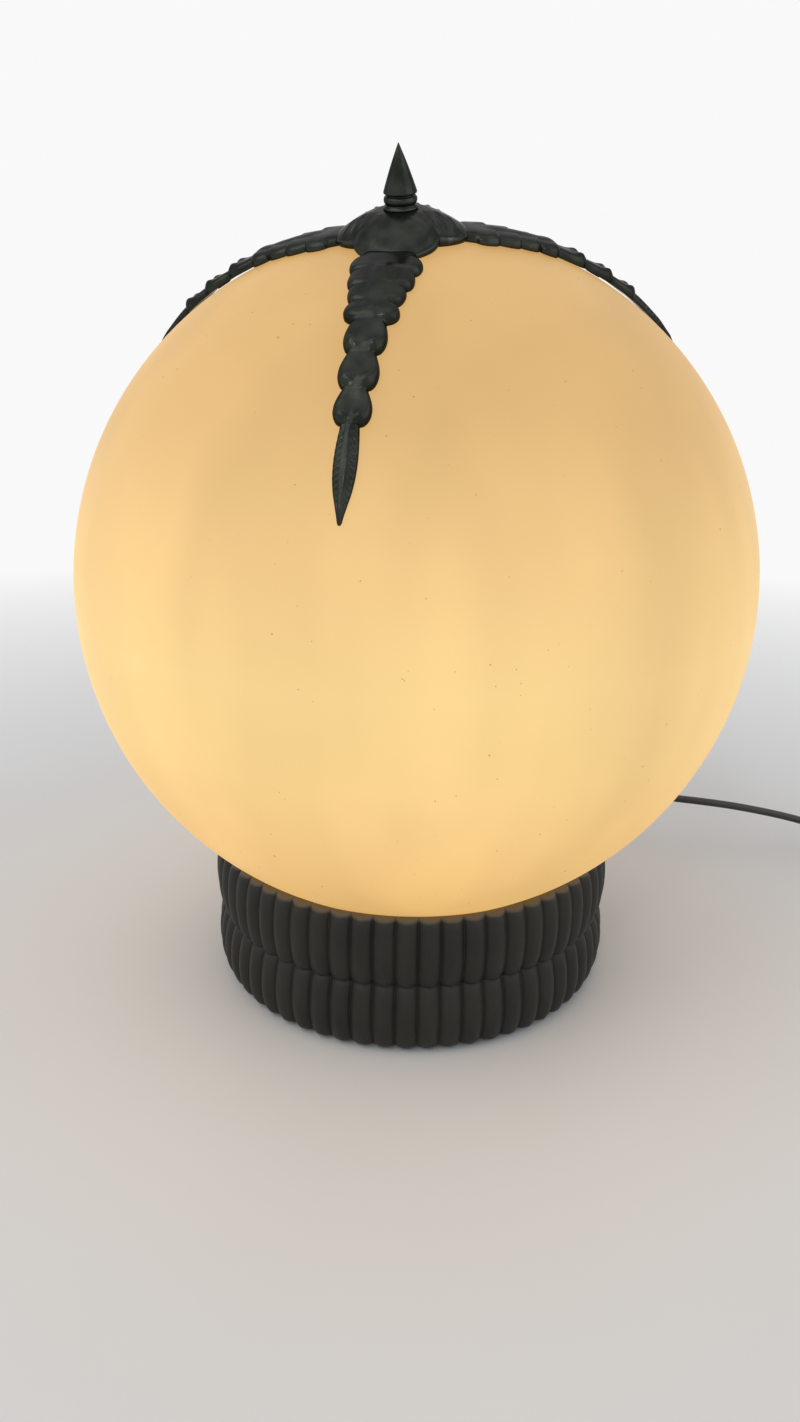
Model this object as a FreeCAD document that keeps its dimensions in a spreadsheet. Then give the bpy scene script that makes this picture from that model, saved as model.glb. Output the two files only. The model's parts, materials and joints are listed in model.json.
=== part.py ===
import FreeCAD, Part
import math
import os
import Sketcher
from FreeCAD import Placement, Rotation, Vector

# Table lamp: a large opal globe sits in the mouth of a fluted drum base, and a cast crown with
# three leaf arms and a spire rests on top of it. Millimetres, +Z up, the lamp's axis is Z, the
# table is z = 0, and the front is towards -Y.

DIMENSIONS = {
    # globe
    "globe_radius": 178.0,
    "globe_wall": 3.2,
    "globe_centre": 221.0,
    "globe_mouth": 60.0,
    "moving_gap": 0.4,
    # drum base
    "tier_height": 39.0,
    "bulge_radius": 114.0,
    "waist_radius": 109.8,
    "foot_radius": 106.0,
    "foot_lift": 0.8,
    "drum_wall": 5.0,
    "flute_count": 60,
    "flute_radius": 2.4,
    "flute_phase": 2.2,
    "seat_depth": 2.5,
    "seat_inner": 87.3,
    "seat_shoulder": 66.0,
    "seat_step": 0.4,
    "foot_ring_inner": 88.0,
    "foot_ring_top": 12.0,
    "plate_radius": 99.4,
    "plate_thick": 2.0,
    "felt_thick": 2.4,
    "felt_outer": 88.0,
    "felt_inner": 20.0,
    "plate_screw_circle": 93.8,
    # light
    "tube_radius": 5.0,
    "tube_bore": 4.0,
    "tube_top": 36.0,
    "holder_radius": 19.5,
    "holder_bottom": 30.0,
    "holder_split": 46.0,
    "holder_top": 86.0,
    "thread_radius": 13.1,
    "bulb_cap_radius": 13.0,
    "bulb_radius": 30.0,
    "bulb_top": 171.0,
    "bulb_neck": 86.0,
    "bulb_wall": 1.0,
    # crown, in its own frame: origin at the globe's centre, Z through the spire
    "crown_lean_front": 20.0,
    "crown_lean_side": -2.7,
    "crown_turn": -10.8,
    "crown_gap": 1.3,
    "pad_gap": 0.3,
    "hub_floor": 4.3,
    "hub_top": 12.5,
    "lobe_centre": 11.0,
    "lobe_length": 19.5,
    "lobe_width": 18.5,
    "lobe_rise": 10.0,
    "boss_radius": 7.6,
    "stud_radius": 2.0,
    "stud_length": 18.0,
    "spire_height": 25.2,
    "spire_radius": 7.3,
    # mains lead
    "lead_radius": 2.6,
    "exit_angle": 60.0,
    "exit_height": 38.0,
    "relief_length": 36.0,
    "coil_radius": 28.6,
    "coil_x": 333.0,
    "coil_y": -75.0,
    "coil_bottom": 1.2,
    "switch_x": 380.0,
    "switch_y": 32.0,
    "switch_length": 56.0,
    "switch_width": 26.0,
    "switch_height": 17.0,
    "plug_x": 276.0,
    "plug_y": -134.0,
    "plug_height": 13.7,
}

# Arm outline along the glass from the crown's axis: the tip of each scale or heart and the notch
# after it, as (distance, half width).
SCALES = [(35.0, 15.4, 41.0, 12.6), (47.0, 13.9, 52.0, 11.0), (55.6, 12.0, 62.4, 8.1),
          (67.6, 11.4, 72.5, 6.8)]
HEARTS = [(81.5, 8.7, 88.2, 5.4), (98.0, 8.1, 104.8, 4.7), (114.0, 7.4, 120.3, 3.6)]
ARM_ROOT = (9.0, 9.0)
ARM_SHOULDER = (30.5, 13.0)
LEAF_BELLY = (136.0, 4.6)
ARM_TIP = 158.6

# Arm thickness: (distance along the glass, height of the outer face above the glass).
ARM_RISE = [(9.0, 4.1), (30.5, 4.1), (33.0, 5.4), (60.0, 5.0), (69.0, 5.8), (74.0, 4.6), (85.0, 6.0),
            (89.0, 4.2), (101.0, 5.8), (105.5, 4.0), (117.0, 5.6), (121.5, 3.6), (140.0, 3.4), (158.6, 2.0)]

# Directions of the three arms about the crown's axis, in degrees from the front arm.
ARM_ANGLES = {"arm_front": 0.0, "arm_right": 117.0, "arm_left": -100.0}
ARM_SCREW_AT = 20.0
ARM_PAD_AT = 97.0

# Route of the lead, in two stretches, and of its tail to the plug.
LEAD_ROUTE = [(73.0, 126.4, 38.0), (81.0, 140.3, 38.0), (91.0, 154.0, 38.5), (105.0, 164.5, 39.0),
              (122.0, 167.0, 39.5), (138.0, 162.0, 39.6), (153.0, 152.5, 39.6), (169.0, 142.0, 39.6),
              (187.0, 134.0, 39.6), (207.0, 129.5, 39.3), (228.0, 128.5, 37.0), (250.0, 128.8, 33.0),
              (273.0, 128.8, 28.0), (296.0, 128.3, 21.5), (320.0, 126.0, 14.5), (343.0, 119.5, 7.6),
              (361.0, 106.0, 3.2), (373.0, 90.0, 3.2), (379.0, 74.0, 5.6), (380.0, 60.0, 7.0)]
SECOND_ROUTE = [(380.0, 4.0, 7.0), (379.6, -10.0, 5.6), (377.5, -26.0, 3.6), (373.5, -42.0, 3.6),
                (369.5, -57.0, 3.8), (367.3, -70.0, 3.8)]
TAIL_ROUTE = [(327.0, -109.0, 12.6), (317.3, -110.5, 11.9), (308.6, -114.8, 10.8),
              (294.4, -128.2, 8.4), (285.7, -132.5, 7.4), (276.0, -134.0, 6.85),
              (270.0, -134.0, 6.85)]
INNER_ROUTE = [(73.0, 126.4, 38.0), (46.8, 81.1, 38.0), (35.0, 66.5, 33.0), (22.0, 57.0, 23.5),
               (9.5, 53.0, 14.0), (-3.0, 52.0, 10.4)]
WIRE_ROUTE = [(-18.0, 44.1, 10.4), (-16.5, 34.0, 12.0), (-12.0, 25.0, 18.0), (-6.0, 18.0, 26.0),
              (0.0, 12.5, 33.5)]
WIRE_SIDE = {"live_wire": -3.2, "neutral_wire": 3.2}
WIRE_RADIUS = 1.1

doc = FreeCAD.newDocument("table_lamp")
sheet = doc.addObject("Spreadsheet::Sheet", "Dimensions")
for row, (alias, length) in enumerate(DIMENSIONS.items(), start=1):
    sheet.set("A%d" % row, alias)
    sheet.set("B%d" % row, str(length))
    sheet.setAlias("B%d" % row, alias)
doc.recompute()


class Size:
    """A length with its value and the spreadsheet formula that gives it."""

    def __init__(self, value, text=None):
        self.value = float(value)
        self.text = text or repr(float(value))

    @staticmethod
    def of(other):
        return other if isinstance(other, Size) else Size(other)

    def join(self, other, sign, value):
        return Size(value, "(%s %s %s)" % (self.text, sign, Size.of(other).text))

    def __add__(self, other):
        return self.join(other, "+", self.value + Size.of(other).value)

    def __sub__(self, other):
        return self.join(other, "-", self.value - Size.of(other).value)

    def __mul__(self, other):
        return self.join(other, "*", self.value * Size.of(other).value)

    def __truediv__(self, other):
        return self.join(other, "/", self.value / Size.of(other).value)

    def root(self):
        return Size(math.sqrt(self.value), "sqrt(%s)" % self.text)


def size(alias):
    return Size(float(sheet.get(alias)), "Dimensions." + alias)


def number(alias):
    return float(sheet.get(alias))


R = size("globe_radius")
CENTRE = size("globe_centre")
PLATE_BOTTOM = size("felt_thick")
PLATE_TOP = PLATE_BOTTOM + size("plate_thick")

nodes = []


def node(thing, name):
    """Names a finished sub-part and puts it on the list of nodes."""
    thing.Label = name
    nodes.append(thing)
    return thing


def bind(thing, prop, length):
    setattr(thing, prop, Size.of(length).value)
    if isinstance(length, Size):
        thing.setExpression(prop, length.text)


def on_plane(body, name, role):
    sketch = body.newObject("Sketcher::SketchObject", name)
    plane = [item for item in body.Origin.OriginFeatures if item.Role == role][0]
    sketch.AttachmentSupport = (plane, "")
    sketch.MapMode = "FlatFace"
    return sketch


def draw(sketch, corners):
    """Draws a closed outline. A corner is (x, y), or (x, y, radius, middle x, middle y) after an arc."""
    points = [Vector(Size.of(c[0]).value, Size.of(c[1]).value, 0) for c in corners]
    for index, corner in enumerate(corners):
        start = points[index - 1]
        end = points[index]
        if len(corner) == 2:
            sketch.addGeometry(Part.LineSegment(start, end), False)
        else:
            middle = Vector(Size.of(corner[3]).value, Size.of(corner[4]).value, 0)
            sketch.addGeometry(Part.Arc(start, middle, end), False)
    ends = []
    for index, corner in enumerate(corners):
        forward = True
        if len(corner) == 5:
            forward = sketch.Geometry[index].StartPoint.isEqual(points[index - 1], 1e-6)
        ends.append((1, 2) if forward else (2, 1))
    for index in range(len(corners)):
        after = (index + 1) % len(corners)
        sketch.addConstraint(Sketcher.Constraint("Coincident", index, ends[index][1], after, ends[after][0]))
    for index, corner in enumerate(corners):
        pin(sketch, "DistanceX", index, ends[index][1], corner[0])
        pin(sketch, "DistanceY", index, ends[index][1], corner[1])
        if len(corner) == 5:
            spot = sketch.addConstraint(Sketcher.Constraint("Radius", index, Size.of(corner[2]).value))
            tie(sketch, spot, corner[2])


def pin(sketch, kind, index, end, length):
    value = Size.of(length).value
    if abs(value) < 1e-9:
        axis = -2 if kind == "DistanceX" else -1
        sketch.addConstraint(Sketcher.Constraint("PointOnObject", index, end, axis))
        return
    spot = sketch.addConstraint(Sketcher.Constraint(kind, -1, 1, index, end, value))
    tie(sketch, spot, length)


def tie(sketch, spot, length):
    if isinstance(length, Size):
        sketch.setExpression("Constraints[%d]" % spot, length.text)


def turned(name, corners):
    """A body turned about Z from its half section (radius, height)."""
    body = doc.addObject("PartDesign::Body", name + "_body")
    sketch = on_plane(body, name + "_section", "XZ_Plane")
    draw(sketch, corners)
    feature = body.newObject("PartDesign::Revolution", name + "_turn")
    feature.Profile = sketch
    feature.ReferenceAxis = (sketch, ["V_Axis"])
    feature.Angle = 360.0
    body.Tip = feature
    return body


def ring(inner, outer, bottom, top):
    """Half section of a plain ring, or of a disc where inner is 0."""
    return [(inner, bottom), (outer, bottom), (outer, top), (inner, top)]


def cylinder(name, radius, height, place):
    rod = doc.addObject("Part::Cylinder", name)
    bind(rod, "Radius", radius)
    bind(rod, "Height", height)
    rod.Placement = place
    return rod


def ball(name, radius, place):
    sphere = doc.addObject("Part::Sphere", name)
    bind(sphere, "Radius", radius)
    sphere.Placement = place
    return sphere


def block(name, length, width, height, place):
    box = doc.addObject("Part::Box", name)
    bind(box, "Length", length)
    bind(box, "Width", width)
    bind(box, "Height", height)
    box.Placement = place
    return box


def rounded(name, box, radius, edge_direction):
    """Rounds the edges of a box that run along one axis."""
    doc.recompute()
    picked = []
    for index, edge in enumerate(box.Shape.Edges, start=1):
        run = (edge.Vertexes[1].Point - edge.Vertexes[0].Point).normalize()
        if abs(run.dot(edge_direction)) > 0.99:
            picked.append((index, radius, radius))
    fillet = doc.addObject("Part::Fillet", name)
    fillet.Base = box
    fillet.Edges = picked
    return fillet


def joined(name, things):
    fuse = doc.addObject("Part::MultiFuse", name)
    fuse.Shapes = things
    return fuse


def grouped(name, things):
    group = doc.addObject("Part::Compound", name)
    group.Links = things
    return group


def cut(name, base, tools):
    difference = doc.addObject("Part::Cut", name)
    difference.Base = base
    difference.Tool = tools[0] if len(tools) == 1 else joined(name + "_tools", tools)
    return difference


def common(name, first, second):
    overlap = doc.addObject("Part::MultiCommon", name)
    overlap.Shapes = [first, second]
    return overlap


def at(x, y, z, rotation=Rotation()):
    return Placement(Vector(x, y, z), rotation)


def around(radius, angle, height):
    """A place on a circle about Z, turned to face outwards."""
    turn = Rotation(Vector(0, 0, 1), angle)
    return Placement(turn.multVec(Vector(radius, 0, height)), turn)


def seat(height, offset):
    """Radius at a height of a surface that follows the globe at an offset outside it."""
    reach = R + offset
    drop = CENTRE - height
    return (reach * reach - drop * drop).root()


def seat_height(radius, offset):
    """Height at a radius of a surface that follows the globe at an offset outside it."""
    reach = R + offset
    return CENTRE - (reach * reach - radius * radius).root()


def rounded_path(points):
    """Straight runs joined by tangent arcs, as large as the shorter run beside each point allows."""
    corners = [Vector(*point) for point in points]
    edges = []
    radii = []
    here = corners[0]
    for before, corner, after in zip(corners, corners[1:], corners[2:]):
        into = (corner - before).normalize()
        away = (after - corner).normalize()
        half_turn = into.getAngle(away) / 2
        reach = 0.45 * min((corner - before).Length, (after - corner).Length)
        radius = reach / math.tan(half_turn)
        first = corner - into * reach
        last = corner + away * reach
        inward = (away - into).normalize()
        middle = corner + inward * (radius / math.cos(half_turn) - radius)
        edges.append(Part.LineSegment(here, first).toShape())
        edges.append(Part.Arc(first, middle, last).toShape())
        radii.append(radius)
        here = last
    edges.append(Part.LineSegment(here, corners[-1]).toShape())
    return Part.Wire(edges), radii


def lead(name, points, radius):
    """A round lead along a route. Prints its tightest bend and how true its volume is."""
    path, radii = rounded_path(points)
    start = Vector(*points[0])
    section = Part.Wire([Part.Circle(start, Vector(*points[1]) - start, radius).toShape()])
    tube = doc.addObject("Part::Feature", name + "_tube")
    tube.Shape = path.makePipeShell([section], True, False)
    expected = math.pi * radius ** 2 * path.Length
    print("%s: length %.0f, least radius %.1f, volume ratio %.4f"
          % (name, path.Length, min(radii), tube.Shape.Volume / expected))
    return node(tube, name)


# ---------------------------------------------------------------- drum base

def drum():
    tier = size("tier_height")
    top = tier * 2 - 0.5
    bulge = size("bulge_radius")
    waist = size("waist_radius")
    foot = size("foot_radius")
    wall = waist - size("drum_wall")
    lift = size("foot_lift")
    gap = size("moving_gap")
    recess = size("plate_radius") + 0.4
    shoulder = size("seat_shoulder")
    step = wall + size("seat_step")
    tier_bow = 47.0
    section = [
        (recess, lift),
        (foot - 1.0, lift),
        (foot, lift + 1.2),
        (waist, tier, tier_bow, bulge, tier / 2),
        (waist - 0.8, tier * 2 - 2.0, tier_bow, bulge, tier * 1.5),
        (seat(top, gap) + 1.6, top),
        (seat(top, gap), top),
        (step, seat_height(step, gap)),
        (step, shoulder),
        (wall, shoulder),
        (wall, PLATE_TOP + 0.2),
        (recess, PLATE_TOP + 0.2),
    ]
    body = turned("drum", section)
    sketch = on_plane(body, "flute_section", "XY_Plane")
    middle = Vector(number("bulge_radius") - 0.6, 0, 0)
    sketch.addGeometry(Part.Circle(middle, Vector(0, 0, 1), number("flute_radius")))
    sketch.addConstraint(Sketcher.Constraint("Radius", 0, number("flute_radius")))
    sketch.setExpression("Constraints[0]", "Dimensions.flute_radius")
    sketch.addConstraint(Sketcher.Constraint("PointOnObject", 0, 3, -1))
    sketch.addConstraint(Sketcher.Constraint("DistanceX", -1, 1, 0, 3, middle.x))
    sketch.setExpression("Constraints[2]", "Dimensions.bulge_radius - 0.6")
    doc.recompute()
    groove = body.newObject("PartDesign::Pocket", "flute")
    groove.Profile = sketch
    groove.Length = 2 * number("tier_height")
    groove.Reversed = True
    body.Tip = groove
    doc.recompute()
    pattern = body.newObject("PartDesign::PolarPattern", "flutes")
    pattern.Originals = [groove]
    pattern.Axis = ([item for item in body.Origin.OriginFeatures if item.Role == "Z_Axis"][0], [""])
    pattern.Angle = 360.0
    pattern.Occurrences = int(number("flute_count"))
    pattern.setExpression("Occurrences", "Dimensions.flute_count")
    body.Tip = pattern
    body.Placement = at(0, 0, 0, Rotation(Vector(0, 0, 1), number("flute_phase") - 90.0))
    tools = [outward("gland_hole", 6.0, 100.0, 14.0), outward("gland_spot", 9.6, 109.4, 8.0)]
    node(cut("drum_cut", body, tools), "base_shell")
    cup = [
        (size("seat_inner"), 57.5),
        (wall - 0.1, shoulder),
        (step, shoulder),
        (step, seat_height(step, gap)),
        (seat(Size(72.0), gap), 72.0),
        (seat(Size(70.4), size("seat_depth")), 70.4),
        (size("seat_inner"), 63.0),
    ]
    node(turned("seat_cup_turn", cup), "seat_cup")
    foot_ring = turned("foot_ring_turn", ring(size("foot_ring_inner"), wall, PLATE_TOP + 0.2,
                                              size("foot_ring_top")))
    threads = [cylinder("foot_ring_thread_%d" % i, 1.5, 9.0, screw_place(i, 3.0)) for i in range(4)]
    node(cut("foot_ring_cut", foot_ring, threads), "foot_ring")


def screw_place(i, height):
    """Place of one of the four screws that hold the floor plate."""
    return around(number("plate_screw_circle"), 45 + 90 * i, height)


def outward(name, radius, start, length):
    """A cylinder that points out of the drum's wall along the lead's exit."""
    place = around(start, number("exit_angle"), number("exit_height"))
    place.Rotation = place.Rotation.multiply(Rotation(Vector(0, 1, 0), 90))
    return cylinder(name, radius, length, place)


def turned_outward(name, corners):
    """A turned piece on the exit's axis. Its section's height is the distance from the lamp's axis."""
    body = turned(name, corners)
    turn = Rotation(Vector(0, 0, 1), number("exit_angle"))
    lay_down = Rotation(Vector(0, 1, 0), 90)
    body.Placement = Placement(Vector(0, 0, number("exit_height")), turn.multiply(lay_down))
    return node(body, name)


def base_fittings():
    inside = size("moving_gap") + 0.1
    outside = size("seat_depth") - 0.1
    gasket = []
    for height, offset in ((64.0, inside), (64.0, outside), (70.0, outside), (70.0, inside)):
        gasket.append((seat(Size(height), offset), height))
    node(turned("gasket", gasket), "globe_seat_ring")
    plate = turned("plate", ring(size("tube_radius") + 0.2, size("plate_radius"), PLATE_BOTTOM, PLATE_TOP))
    holes = [cylinder("plate_hole_%d" % i, 1.8, 6.0, screw_place(i, 0.0)) for i in range(4)]
    node(cut("plate_cut", plate, holes), "floor_plate")
    screws = []
    for i in range(4):
        shank = cylinder("plate_shank_%d" % i, 1.45, 9.0, screw_place(i, 2.0))
        head = cylinder("plate_head_%d" % i, 3.0, 1.6, screw_place(i, 0.7))
        screws.append(joined("plate_screw_%d" % i, [shank, head]))
    node(grouped("plate_screws", screws), "floor_plate_screws")
    node(turned("felt", ring(size("felt_inner"), size("felt_outer"), 0, PLATE_BOTTOM)), "felt_pad")


def light():
    tube = size("tube_radius")
    bore = tube + 0.05
    node(turned("tube", ring(size("tube_bore"), tube, 0.4, size("tube_top"))), "threaded_tube")
    nuts = []
    for name, bottom, thick in (("lower_nut", 0.5, 1.9), ("upper_nut", PLATE_TOP.value + 0.8, 3.0)):
        prism = doc.addObject("Part::Prism", name + "_hex")
        prism.Polygon = 6
        prism.Circumradius = 8.6
        prism.Height = thick
        prism.Placement = at(0, 0, bottom)
        nuts.append(cut(name, prism, [cylinder(name + "_bore", bore, 8.0, at(0, 0, bottom - 1.0))]))
    node(grouped("nuts", nuts), "tube_lock_nuts")
    node(turned("washer", ring(bore, 11.0, PLATE_TOP, PLATE_TOP + 0.8)), "tube_washer")
    outer = size("holder_radius")
    bottom = size("holder_bottom")
    split = size("holder_split")
    top = size("holder_top")
    node(turned("holder_cap", [(bore, bottom), (11.0, bottom), (outer, bottom + 8.0), (outer, split),
                               (outer - 1.8, split), (outer - 1.8, bottom + 8.6), (10.4, bottom + 4.0),
                               (bore, bottom + 4.0)]), "lampholder_cap")
    node(turned("holder_barrel", ring(outer - 2.0, outer, split + 0.1, top)), "lampholder_barrel")
    node(turned("holder_ring", ring(outer + 0.1, outer + 2.6, top - 14.0, top - 8.0)), "lampholder_ring")
    node(turned("holder_insert", ring(0, outer - 2.1, split + 1.0, split + 8.0)), "lampholder_insert")
    thread = size("thread_radius")
    shell = ring(thread, thread + 0.5, split + 8.0, top - 4.0)
    node(turned("holder_thread", shell), "lampholder_thread_shell")
    contact = [(0, split + 8.0), (5.0, split + 8.0), (5.0, split + 9.0), (2.5, split + 12.0),
               (0, split + 12.0)]
    node(turned("holder_contact", contact), "lampholder_centre_contact")


def bulb_form(name, inset, below):
    """A bulb's solid form, inset from the outside of the glass: a neck that widens into a ball."""
    neck = size("bulb_neck")
    throat = size("bulb_cap_radius") - 0.7 - inset
    shoulder = throat + 3.7
    wide = size("bulb_radius") - inset
    equator = size("bulb_top") - size("bulb_radius")
    stalk = turned(name + "_neck", [(0, neck - below), (throat, neck - below), (throat, neck),
                                    (shoulder, neck + 10.0),
                                    (wide, equator, 70.0, wide - 3.1, equator - 24.0), (0, equator)])
    return joined(name, [stalk, ball(name + "_ball", wide, at(0, 0, equator.value))])


def bulb():
    split = size("holder_split")
    cap = size("bulb_cap_radius")
    neck = size("bulb_neck")
    node(turned("bulb_tip", ring(0, 4.5, split + 12.1, split + 13.6)), "bulb_contact")
    node(turned("bulb_cap", [(0, split + 13.6), (5.0, split + 13.6), (cap, split + 17.0), (cap, neck),
                             (cap - 0.6, neck), (cap - 0.6, split + 17.6), (5.0, split + 14.4),
                             (0, split + 14.4)]), "bulb_screw_cap")
    inside = bulb_form("bulb_inside", size("bulb_wall"), 4.0)
    node(cut("bulb_envelope", bulb_form("bulb_outside", Size(0.0), 3.0), [inside]), "bulb_glass")
    stem = [(0, neck - 2.9), (cap - 2.1, neck - 2.9), (cap - 2.1, neck - 1.6), (3.0, neck + 8.0),
            (2.0, neck + 34.0), (0, neck + 34.0)]
    node(turned("bulb_stem", stem), "bulb_stem")
    coil = doc.addObject("Part::Torus", "filament_ring")
    coil.Radius1 = 11.0
    coil.Radius2 = 0.6
    coil.Placement = at(0, 0, number("bulb_neck") + 32.0)
    spokes = []
    for i in range(3):
        turn = Rotation(Vector(0, 0, 1), 120 * i).multiply(Rotation(Vector(0, 1, 0), 90))
        start = coil.Placement.Base + turn.multVec(Vector(0, 0, 1.9))
        spokes.append(cylinder("filament_spoke_%d" % i, 0.4, 9.0, Placement(start, turn)))
    node(joined("filament", [coil] + spokes), "bulb_filament")


def wiring():
    turned_outward("gland_turn", [(2.7, 103.0), (5.8, 103.0), (5.8, 109.5), (9.0, 109.5), (9.0, 111.6),
                                  (2.7, 111.6)])
    nodes[-1].Label = "lead_gland"
    turned_outward("gland_nut_turn", [(5.9, 101.2), (9.5, 101.2), (9.5, 104.0), (5.9, 104.0)])
    nodes[-1].Label = "gland_nut"
    relief = size("relief_length")
    start = Size(111.7)
    end = start + relief - 1.5
    turned_outward("relief_turn", [(2.7, start), (6.0, start), (5.6, start + 4.0), (3.5, end), (2.7, end)])
    nodes[-1].Label = "strain_relief"
    lead("inner_lead", INNER_ROUTE, number("lead_radius"))
    low_x, low_y, low_z = (INNER_ROUTE[-1][0] - 30.0, WIRE_ROUTE[0][1], PLATE_TOP.value)
    body = block("terminal_box", 30.0, 16.0, 12.0, at(low_x, low_y, low_z))
    places = [at(low_x + along, low_y + 8.0, low_z + 8.0) for along in (8.0, 15.0, 22.0)]
    wells = [cylinder("terminal_well_%d" % i, 2.0, 6.0, place) for i, place in enumerate(places)]
    node(cut("terminal_cut", body, wells), "terminal_block")
    lift = at(0, 0, 0.1)
    screws = []
    for i, place in enumerate(places):
        screws.append(cylinder("terminal_screw_%d" % i, 1.8, 2.4, place.multiply(lift)))
    node(grouped("terminal_group", screws), "terminal_screws")
    for name, side in WIRE_SIDE.items():
        lead(name, [(x + side, y, z) for x, y, z in WIRE_ROUTE], WIRE_RADIUS)


# ---------------------------------------------------------------- globe

def globe():
    middle = at(0, 0, number("globe_centre"))
    mouth = cylinder("globe_mouth", size("globe_mouth"), CENTRE, at(0, 0, 0))
    inside = ball("globe_inside", R - size("globe_wall"), middle)
    node(cut("globe_glass", ball("globe_outside", R, middle), [inside, mouth]), "globe")


# ---------------------------------------------------------------- crown

def crown_place(turn=0.0):
    """Place of a crown piece that is drawn about the crown's own axis, turned about that axis."""
    lean = Rotation(Vector(0, 1, 0), number("crown_lean_side")).multiply(
        Rotation(Vector(1, 0, 0), number("crown_lean_front")))
    spin = Rotation(Vector(0, 0, 1), number("crown_turn") + turn)
    return Placement(Vector(0, 0, number("globe_centre")), lean.multiply(spin))


def on_crown(angle, along, height):
    """Place on the glass under an arm, with Z along the outward normal."""
    reach = Rotation(Vector(0, 1, 0), math.degrees(along / number("globe_radius")))
    place = crown_place(angle - 90.0)
    place.Rotation = place.Rotation.multiply(reach)
    place.Base = place.Base + place.Rotation.multVec(Vector(0, 0, number("globe_radius") + height))
    return place


def polar(along, height):
    angle = along / number("globe_radius")
    reach = number("globe_radius") + height
    return reach * math.sin(angle), reach * math.cos(angle)


def arm(name, angle):
    """One arm: its side profile, pushed sideways, kept only inside its plan outline."""
    radius = number("globe_radius")
    gap = number("crown_gap")
    side = doc.addObject("Sketcher::SketchObject", name + "_side")
    side.Placement = Placement(Vector(), Rotation(Vector(1, 0, 0), 90))
    start = polar(ARM_ROOT[0], gap)
    end = polar(ARM_TIP, gap)
    middle = polar((ARM_ROOT[0] + ARM_TIP) / 2, gap)
    top = [polar(*step) for step in ARM_RISE]
    side.addGeometry(Part.Arc(Vector(*end, 0), Vector(*middle, 0), Vector(*start, 0)), False)
    for first, last in zip([start] + top, top + [end]):
        side.addGeometry(Part.LineSegment(Vector(*first, 0), Vector(*last, 0)), False)
    profile = doc.addObject("Part::Extrusion", name + "_profile")
    profile.Base = side
    profile.Dir = Vector(0, 1, 0)
    profile.LengthFwd = 22.0
    profile.LengthRev = 22.0
    profile.Solid = True

    half_way = (ARM_ROOT[0] + ARM_TIP) / 2

    def flat(along, half_width):
        return Vector(radius * math.sin((along - half_way) / radius), half_width, 0)

    plan = doc.addObject("Sketcher::SketchObject", name + "_plan")
    plan.Placement = Placement(Vector(), Rotation(Vector(0, 1, 0), math.degrees(half_way / radius)))
    notch = [flat(ARM_ROOT[0], ARM_ROOT[1]), flat(ARM_SHOULDER[0] - 1.5, ARM_ROOT[1]), flat(*ARM_SHOULDER)]
    edges = [Part.LineSegment(notch[0], notch[1]), Part.LineSegment(notch[1], notch[2])]
    here = notch[2]
    for along, wide, notch_along, notch_wide in SCALES + HEARTS:
        there = flat(notch_along, notch_wide)
        edges.append(Part.Arc(here, flat(along, wide), there))
        here = there
    tip = flat(ARM_TIP, 0.35)
    edges.append(Part.Arc(here, flat(*LEAF_BELLY), tip))
    for edge in edges:
        plan.addGeometry(edge, False)
        mirrored = edge.copy()
        mirrored.mirror(Vector(0, 0, 0), Vector(1, 0, 0))
        plan.addGeometry(mirrored, False)
    plan.addGeometry(Part.LineSegment(tip, Vector(tip.x, -tip.y, 0)), False)
    plan.addGeometry(Part.LineSegment(notch[0], Vector(notch[0].x, -notch[0].y, 0)), False)
    outline = doc.addObject("Part::Extrusion", name + "_outline")
    outline.Base = plan
    outline.DirMode = "Normal"
    outline.LengthFwd = radius + 20.0
    outline.Solid = True
    shape = common(name + "_shape", profile, outline)
    hole = cylinder(name + "_hole", 1.6, 6.0, drop_on_arm(ARM_SCREW_AT, 0.5))
    drilled = cut(name + "_drilled", shape, [hole])
    drilled.Placement = crown_place(angle - 90.0)
    node(drilled, name)


def drop_on_arm(along, height):
    """Place on an arm in the arm's own frame, with Z along the glass's outward normal."""
    reach = Rotation(Vector(0, 1, 0), math.degrees(along / number("globe_radius")))
    return Placement(reach.multVec(Vector(0, 0, number("globe_radius") + height)), reach)


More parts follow.
